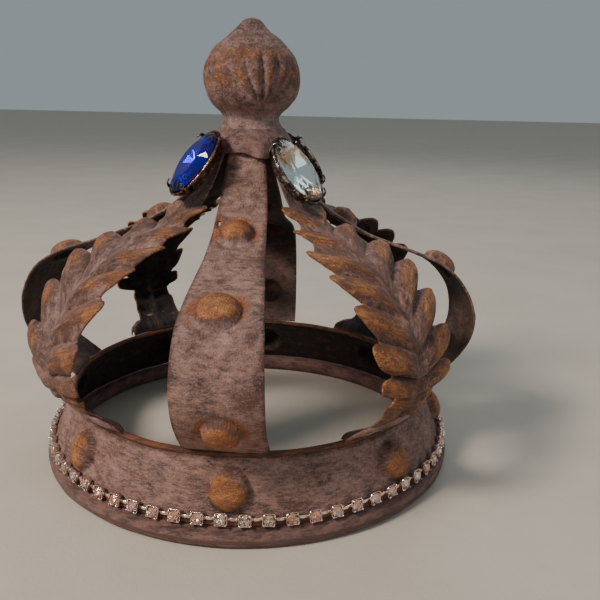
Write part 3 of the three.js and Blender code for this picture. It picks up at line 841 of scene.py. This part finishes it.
def chain_cups(frames):
    """Square stamped cups, each with its corners drawn up into four short prongs."""
    bm = bmesh.new()
    half = CUP_SIZE / 2

    def square(size, x):
        r = size * 0.22
        corners = []
        for cy, cz in ((1, 1), (-1, 1), (-1, -1), (1, -1)):
            start = math.atan2(cz, cy) - math.pi / 4
            for k in range(3):
                angle = start + k * math.pi / 4
                y = cy * (size - r) + r * math.cos(angle)
                corners.append((x, y, cz * (size - r) + r * math.sin(angle)))
        return corners

    for place in frames:
        before = len(bm.verts)
        loft(bm, [
            square(half * 0.78, 0), square(half * 0.95, 0.35), square(half, 1.6),
            square(half * 0.97, 1.75), square(half * 0.86, 1.7), square(half * 0.82, 0.6),
        ][::-1])
        for cy, cz in ((1, 1), (-1, 1), (-1, -1), (1, -1)):
            corner = Vector((0, cy, cz)).normalized()
            reach = half * 1.27
            path = [corner * reach * share + Vector((out, 0, 0))
                    for share, out in ((0.95, 0.7), (1, 1.7), (0.92, 2.25), (0.72, 2.42))]
            sweep(bm, path, 0.36, 0.2, corner.cross(Vector((1, 0, 0))), 0.75)
        bm.verts.ensure_lookup_table()
        for vert in bm.verts[before:]:
            vert.co = place @ vert.co
    return mesh_piece("chain_cups", bm, "silver", "rhinestone_chain", smooth_faces=True)


def chain_stones(frames):
    """Round cut stones: a flat table, a ring of crown facets and a foiled point."""
    bm = bmesh.new()
    radius = CUP_SIZE * 0.47
    count = 8

    def ring(x, radius, turn=0.0):
        angles = [2 * math.pi * k / count + turn for k in range(count)]
        return [(x, radius * math.cos(angle), radius * math.sin(angle)) for angle in angles]

    rings = [ring(2.5, 0.56 * radius, math.pi / count), ring(1.95, radius), ring(1.8, radius)]
    for place in frames:
        table, girdle, under = [[bm.verts.new(place @ (Vector(p) * MM)) for p in ring] for ring in rings]
        point = bm.verts.new(place @ (Vector((0.75, 0, 0)) * MM))
        bm.faces.new(table)
        for i in range(count):
            j = (i + 1) % count
            h = (i - 1) % count
            bm.faces.new((table[h], girdle[i], table[i]))
            bm.faces.new((table[i], girdle[i], girdle[j]))
            bm.faces.new((girdle[i], under[i], under[j], girdle[j]))
            bm.faces.new((under[i], point, under[j])).material_index = 1
    piece = mesh_piece("chain_stones", bm, "clear_glass", "rhinestone_chain")
    piece.data.materials[0] = CHAIN_GLASS
    piece.data.materials.append(FOILS["chain"])
    return piece


def chain_links(frames):
    """Flat bars that join each cup to the next."""
    bm = bmesh.new()
    for first, second in zip(frames, frames[1:]):
        start = first @ (Vector((0.7, 1.6, 0)) * MM) / MM
        stop = second @ (Vector((0.7, -1.6, 0)) * MM) / MM
        out = Vector((start.x, start.y, 0)).normalized()
        along = (stop - start).normalized()
        sweep(bm, [start, start.lerp(stop, 0.5) + out * 0.15, stop], 0.62, 0.22, along.cross(out))
    return mesh_piece("chain_links", bm, "silver", "rhinestone_chain", smooth_faces=True)


# ---- materials
NOISE_GAIN = 9.0


class Shader:
    """A material's nodes, made one at a time. An input is a number, a colour or another output."""

    def __init__(self, name):
        self.material = bpy.data.materials.new(name)
        self.material.use_nodes = True
        self.tree = self.material.node_tree
        self.surface = self.tree.nodes["Principled BSDF"]

    def node(self, kind, inputs=(), **settings):
        made = self.tree.nodes.new(kind)
        for key, value in settings.items():
            setattr(made, key, value)
        for key, value in dict(inputs).items():
            self.set(made.inputs[key], value)
        return made

    def set(self, socket, value):
        if isinstance(value, bpy.types.NodeSocket):
            self.tree.links.new(value, socket)
        else:
            socket.default_value = value

    def give(self, **inputs):
        for key, value in inputs.items():
            self.set(self.surface.inputs[key.replace("_", " ")], value)

    def mark(self, name):
        return self.node("ShaderNodeAttribute", attribute_name=name).outputs["Fac"]

    def flow(self):
        return self.node("ShaderNodeAttribute", attribute_name="flow").outputs["Vector"]

    def place(self):
        return self.node("ShaderNodeTexCoord").outputs["Object"]

    def noise(self, where, size, detail=4.0, stretch=(1, 1, 1), rough=0.62):
        """Noise around 0, mostly within -1 and 1, with blots about size millimetres across."""
        scale = [1000 / (size * k) for k in stretch]
        mapped = self.node("ShaderNodeMapping", {"Vector": where, "Scale": scale})
        made = self.node("ShaderNodeTexNoise", {
            "Vector": mapped.outputs[0], "Scale": 1.0, "Detail": detail, "Roughness": rough})
        return self.math("MULTIPLY", self.math("SUBTRACT", made.outputs["Fac"], 0.5), NOISE_GAIN)

    def math(self, operation, a, b=0.0):
        made = self.node("ShaderNodeMath", operation=operation)
        self.set(made.inputs[0], a)
        self.set(made.inputs[1], b)
        return made.outputs[0]

    def add(self, *terms):
        """A sum of outputs, each given alone or as (output, weight)."""
        total = None
        for term in terms:
            value = self.math("MULTIPLY", *term) if isinstance(term, tuple) else term
            total = value if total is None else self.math("ADD", total, value)
        return total

    def step(self, value, low, high):
        """0 below low and 1 above high, smooth between."""
        made = self.node("ShaderNodeMapRange", {"Value": value, "From Min": low, "From Max": high},
                         interpolation_type="SMOOTHSTEP")
        return made.outputs[0]

    def mix(self, share, a, b):
        made = self.node("ShaderNodeMix", data_type="RGBA", clamp_factor=True)
        self.set(made.inputs["Factor"], share)
        self.set(made.inputs[6], a)
        self.set(made.inputs[7], b)
        return made.outputs[2]

    def blend(self, share, a, b):
        """Between two numbers."""
        made = self.node("ShaderNodeMix", data_type="FLOAT")
        self.set(made.inputs["Factor"], share)
        self.set(made.inputs[2], a)
        self.set(made.inputs[3], b)
        return made.outputs[0]

    def bump(self, height, distance, strength):
        inputs = {"Height": height, "Distance": distance * MM, "Strength": strength}
        return self.node("ShaderNodeBump", inputs).outputs[0]


def rgb(red, green, blue):
    """A colour from 0 to 255 numbers as seen on a screen."""
    def linear(c):
        c /= 255
        return c / 12.92 if c <= 0.04045 else ((c + 0.055) / 1.055) ** 2.4
    return (linear(red), linear(green), linear(blue), 1.0)


TIN_DARK = rgb(96, 66, 57)
TIN_SHADOW = rgb(70, 50, 47)
WASH = rgb(178, 140, 129)
DUST = rgb(164, 138, 134)
RUST = rgb(176, 96, 48)
RUST_DARK = rgb(98, 50, 30)
GOLD = rgb(208, 142, 92)
COPPER = rgb(122, 72, 48)
BOSS_BROWN = rgb(104, 64, 42)
BLACK_BROWN = rgb(25, 19, 17)
INNER_RUST = rgb(66, 37, 25)


def rust_colour(sh, speck):
    return sh.mix(sh.add(0.5, (speck, 0.5)), RUST_DARK, RUST)


def aged_tin(name, wash, coarse):
    """Brown tin under a pinkish-grey wash thinned in specks and clouds, with gold rubbed on,
    rust stains and grey dust. The wear mark thins the wash for real wear and also for painted shade,
    under the leaves' lips and on the domes' steep sides. wash is how much of it is left, coarse how
    rough the sheet is."""
    sh = Shader(name)
    where = sh.flow()
    gild, rust, worn, dust, inside = (sh.mark(m) for m in ("gild", "rust", "worn", "dust", "inside"))
    speck = sh.noise(where, 0.55, 3)
    fine = sh.noise(where, 1.5, 7, (1, 2.0, 1), rough=0.7)
    blot = sh.noise(where, 4.5, 6, (1, 1.4, 1), rough=0.68)
    cloud = sh.noise(where, 16, 3)
    spark = sh.noise(where, 0.32, 2)
    cover = sh.add(wash, (speck, 0.15), (fine, 0.26), (blot, 0.15), (cloud, 0.15), (dust, 0.3),
                   (worn, -0.4))
    colour = sh.mix(sh.step(sh.noise(where, 9, 4), 0.1, 1.1), TIN_DARK, TIN_SHADOW)
    colour = sh.mix(cover, colour, sh.mix(sh.math("MULTIPLY", dust, 0.7), WASH, DUST))
    patches = sh.step(sh.add(rust, (fine, 0.25), (speck, 0.2)), 0.25, 0.85)
    colour = sh.mix(sh.math("MULTIPLY", patches, 0.8), colour, rust_colour(sh, speck))
    under_gold = sh.step(gild, 0.15, 0.6)
    colour = sh.mix(sh.math("MULTIPLY", under_gold, 0.75), colour, BOSS_BROWN)
    rubbed = sh.step(sh.add(gild, (speck, 0.16), (fine, 0.16), (blot, 0.14), (dust, -0.2)), 0.2, 1.05)
    gold = sh.mix(sh.add(0.4, (spark, 0.35), (fine, 0.15), (blot, 0.15)), COPPER, GOLD)
    colour = sh.mix(rubbed, colour, gold)
    back = sh.mix(sh.step(blot, 0.15, 0.8), BLACK_BROWN, INNER_RUST)
    colour = sh.mix(inside, colour, back)
    shine = sh.math("MULTIPLY", rubbed, sh.math("SUBTRACT", 1.0, inside))
    pits = sh.step(sh.noise(where, 0.8, 5, (1, 2.6, 1)), 0.2, 1.2)
    colour = sh.mix(sh.math("MULTIPLY", pits, 0.16 + 0.2 * (coarse - 1)), colour, TIN_SHADOW)
    sh.give(Base_Color=colour, Metallic=sh.blend(shine, 0.08, 0.6))
    dull = sh.add((fine, 0.08), 0.68)
    sh.give(Roughness=sh.blend(shine, dull, sh.blend(sh.add(0.4, (spark, 0.6)), 0.52, 0.24)))
    height = sh.add((cover, 0.4), (fine, 0.16 * coarse), (speck, 0.14), (blot, 0.12 * coarse),
                    (spark, 0.08), (pits, -0.2 * coarse))
    sh.give(Normal=sh.bump(height, 0.3, 0.8))
    return sh.material


def rusty_bead(name, dark, light, red, carried=False):
    """Brown oxidised tin with rust flecks and remains of the wash."""
    sh = Shader(name)
    where = sh.place() if carried else sh.flow()
    speck = sh.noise(where, 0.5, 3)
    fine = sh.noise(where, 1.3, 6, (2.2, 1, 1))
    blot = sh.noise(where, 6, 5)
    cover = sh.add(0.42, (speck, 0.2), (fine, 0.25), (blot, 0.2))
    colour = sh.mix(cover, dark, light)
    rusty = sh.step(sh.add(red, (fine, 0.3), (blot, 0.3), (speck, 0.2)), 0.3, 0.9)
    colour = sh.mix(sh.math("MULTIPLY", rusty, 0.7), colour, rust_colour(sh, speck))
    sh.give(Base_Color=colour, Metallic=0.12, Roughness=sh.blend(cover, 0.5, 0.72))
    sh.give(Normal=sh.bump(sh.add((cover, 0.5), (fine, 0.3), (speck, 0.3)), 0.22, 0.8))
    return sh.material


def plated(name, dark, bright, wear):
    """Plated metal, dull and dark in places and bright where it is rubbed."""
    sh = Shader(name)
    where = sh.place()
    fine = sh.noise(where, 0.6, 4)
    blot = sh.noise(where, 2.5, 4)
    share = sh.step(sh.add(wear, (fine, 0.35), (blot, 0.35)), 0.1, 0.9)
    sh.give(Base_Color=sh.mix(share, dark, bright), Metallic=1.0, Roughness=sh.blend(share, 0.4, 0.16))
    sh.give(Normal=sh.bump(fine, 0.04, 0.4))
    return sh.material


def glass(name, colour):
    """Cut glass, faintly hazed by handling."""
    sh = Shader(name)
    haze = sh.step(sh.noise(sh.place(), 2.0, 5), 0.2, 1.0)
    sh.give(Base_Color=colour, Roughness=sh.blend(haze, 0.0, 0.05), IOR=1.42, Transmission_Weight=1.0)
    return sh.material


def foil(name, colour, patches, dull):
    """The mirror behind a stone, with patches of a second colour: tarnish on the smoke and amber
    stones, and a painted reflection on the chain, blue and clear stones.
    """
    sh = Shader(name)
    share = sh.step(sh.noise(sh.place(), 6.0, 2), -0.3, 0.9)
    sh.give(Base_Color=sh.mix(share, colour, patches), Metallic=0.95)
    sh.give(Roughness=sh.blend(share, dull, dull + 0.08))
    return sh.material


MATERIALS = {
    "grey_tin": aged_tin("grey_tin", 0.44, 1.0),
    "gilded_tin": aged_tin("gilded_tin", 0.22, 2.2),
    "rusty_tin": rusty_bead("rusty_tin", rgb(84, 60, 56), rgb(152, 116, 108), 0.0),
    # The silver's pink tint is a painted reflection of warm light and the rust around the chain.
    "silver": plated("silver", rgb(190, 156, 140), rgb(250, 236, 226), 0.7),
    "bronze_setting": plated("bronze_setting", rgb(62, 44, 36), rgb(178, 146, 126), 0.35),
    "dark_setting": plated("dark_setting", rgb(56, 46, 42), rgb(200, 190, 182), 0.3),
    "steel": plated("steel", rgb(90, 84, 80), rgb(150, 146, 142), 0.4),
    "blue_glass": glass("blue_glass", (0.10, 0.18, 0.92, 1)),
    "clear_glass": glass("clear_glass", (0.97, 0.98, 0.98, 1)),
    "smoke_glass": glass("smoke_glass", (0.16, 0.24, 0.21, 1)),
    "amber_glass": glass("amber_glass", (0.85, 0.38, 0.10, 1)),
}
HUB_MATERIAL = rusty_bead("rusty_plate", rgb(70, 46, 38), rgb(128, 88, 74), 0.3, carried=True)
HEM_MATERIAL = rusty_bead("rusty_hem", rgb(74, 46, 36), rgb(150, 104, 84), 0.4)
# The chain's glass is tinted pink, a painted reflection of warm light and rust.
CHAIN_GLASS = glass("chain_glass", (0.98, 0.93, 0.90, 1))
FOILS = {
    # The chain's peach foil is a painted reflection of warm light and rust.
    "chain": foil("chain_foil", (1.0, 0.82, 0.74, 1), (0.95, 0.58, 0.44, 1), 0.1),
    # The blue foil's violet patches are painted glints.
    "blue_glass": foil("blue_foil", (0.01, 0.03, 0.6, 1), (0.26, 0.01, 0.5, 1), 0.06),
    # The clear foil's teal tint and peach patches are painted reflections.
    "clear_glass": foil("clear_foil", (0.86, 0.92, 0.90, 1), (0.92, 0.62, 0.42, 1), 0.06),
    "smoke_glass": foil("smoke_foil", (0.3, 0.34, 0.3, 1), (0.1, 0.1, 0.08, 1), 0.08),
    "amber_glass": foil("amber_foil", (0.9, 0.6, 0.3, 1), (0.4, 0.2, 0.1, 1), 0.08),
}


def finish(piece, slot, *nodes):
    """Gives a piece its material and its place in the frame."""
    piece.data.materials.append(MATERIALS[slot])
    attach(piece, "root")
    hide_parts(*nodes)
    return piece


# ---- the crown
band()
rim_middle = RIM_HEIGHT / 2 - 0.1
rim_section = round_section(RIM_RADIUS - 3.5, rim_middle, 3.3, rim_middle, 22, power=2.7, flat=0.0)
bead("rim_bead", "bottom_rim", "rusty_tin", rim_section, 0.12, 1)
hem_half = HEM_RADIUS * 0.95
hem_section = round_section(band_radius(BAND_TOP) - 0.45, BAND_TOP, hem_half, hem_half, 12)
hem = bead("hem_bead", "top_hem", "rusty_tin", hem_section, 0.16, 2)
hem.data.materials[0] = HEM_MATERIAL

for number, (side, *shape) in enumerate(STRAPS):
    strap(side, *shape, 11 + 20 * number, torn=side == "front")

# Each corner: its angle, how far down its leaf's lower lobes are, the leaf's gilding and dust, how
# far its stone is turned to the right and lifted, the stone's glass and its setting's metal
CORNERS = (("front_left", -45, 5, 0.75, 0.8, -10, 2, "blue_glass", "bronze_setting"),
           ("front_right", 46.5, 0, 1.1, 0.45, 12, 0.3, "clear_glass", "dark_setting"),
           ("back_right", 136.5, 0, 0.8, 0.6, -6, 1, "smoke_glass", "dark_setting"),
           ("back_left", -136.5, 2, 0.8, 0.6, 6, 0.5, "amber_glass", "bronze_setting"))
for number, corner in enumerate(CORNERS):
    side, angle, stretch, gilding, dusting, turn, lift, glass_slot, metal_slot = corner
    leaf(side, angle, stretch, 100 + 20 * number, gilding, dusting)
    leaf_lip(side, angle, 150 + number)
    place = stone_frame(angle, turn, lift)
    claw_setting(f"{side}_claw_setting", f"{side}_setting", metal_slot, place)
    cut_stone(f"{side}_cut_stone", f"{side}_stone", glass_slot, place)

frames = chain_frames()
chain_cups(frames)
chain_links(frames)
chain_stones(frames)

turned_piece("bud_shell", "finial_bud", "gilded_tin", BUD_SECTION, bud_flutes, 200, 9, 1.0,
             marks=bud_marks)
turned_piece("skirt_shell", "finial_skirt", "rusty_tin", SKIRT_SECTION, skirt_folds, 180, 7, 0.8,
             drop=skirt_drop)

for node, surface in (("hub_plate", HUB_MATERIAL), ("finial_screw", MATERIALS["steel"]),
                      ("neck_plug", MATERIALS["steel"])):
    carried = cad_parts[node]
    carried.data.materials.clear()
    carried.data.materials.append(surface)


# ---- floor and light
def make_floor():
    sh = Shader("floor")
    where = sh.place()
    tone = sh.add(0.5, (sh.noise(where, 60, 4), 0.3))
    sh.give(Base_Color=sh.mix(tone, rgb(190, 178, 165), rgb(198, 187, 174)), Roughness=0.75)
    sh.give(Normal=sh.bump(sh.noise(where, 1.5, 4), 0.05, 0.3))
    half = 6.0  # metres
    corners = [(-half, -half, 0), (half, -half, 0), (half, half, 0), (-half, half, 0)]
    mesh = bpy.data.meshes.new("floor")
    mesh.from_pydata(corners, [], [(0, 1, 2, 3)])
    mesh.materials.append(sh.material)
    floor = link("floor", mesh)


def area_light(name, turn, climb, distance, size, power, colour):
    """A soft light at an angle from the front and above the floor, aimed at the crown."""
    data = bpy.data.lights.new(name, "AREA")
    data.size = size
    data.energy = power
    data.color = colour
    light = link(name, data)
    turn, climb = math.radians(turn), math.radians(climb)
    level = math.cos(climb)
    way = Vector((math.sin(turn) * level, -math.cos(turn) * level, math.sin(climb)))
    place = Vector((0, 0, 0.07)) + way * distance
    light.matrix_world = Matrix.Translation(place) @ (-way).to_track_quat("-Z", "Y").to_matrix().to_4x4()


def make_light():
    area_light("key", -50, 42, 1.2, 0.28, 15, (1.0, 0.90, 0.80))
    area_light("fill", 60, 30, 1.3, 0.9, 1.8, (0.86, 0.94, 1.0))
    area_light("back", 170, 45, 1.2, 0.8, 2.5, (0.88, 0.97, 1.0))
    world = bpy.data.worlds.new("world")
    world.use_nodes = True
    sky = world.node_tree.nodes["Background"]
    sky.inputs["Color"].default_value = (0.62, 0.72, 0.76, 1)
    sky.inputs["Strength"].default_value = 0.42
    bpy.context.scene.world = world


make_floor()
make_light()
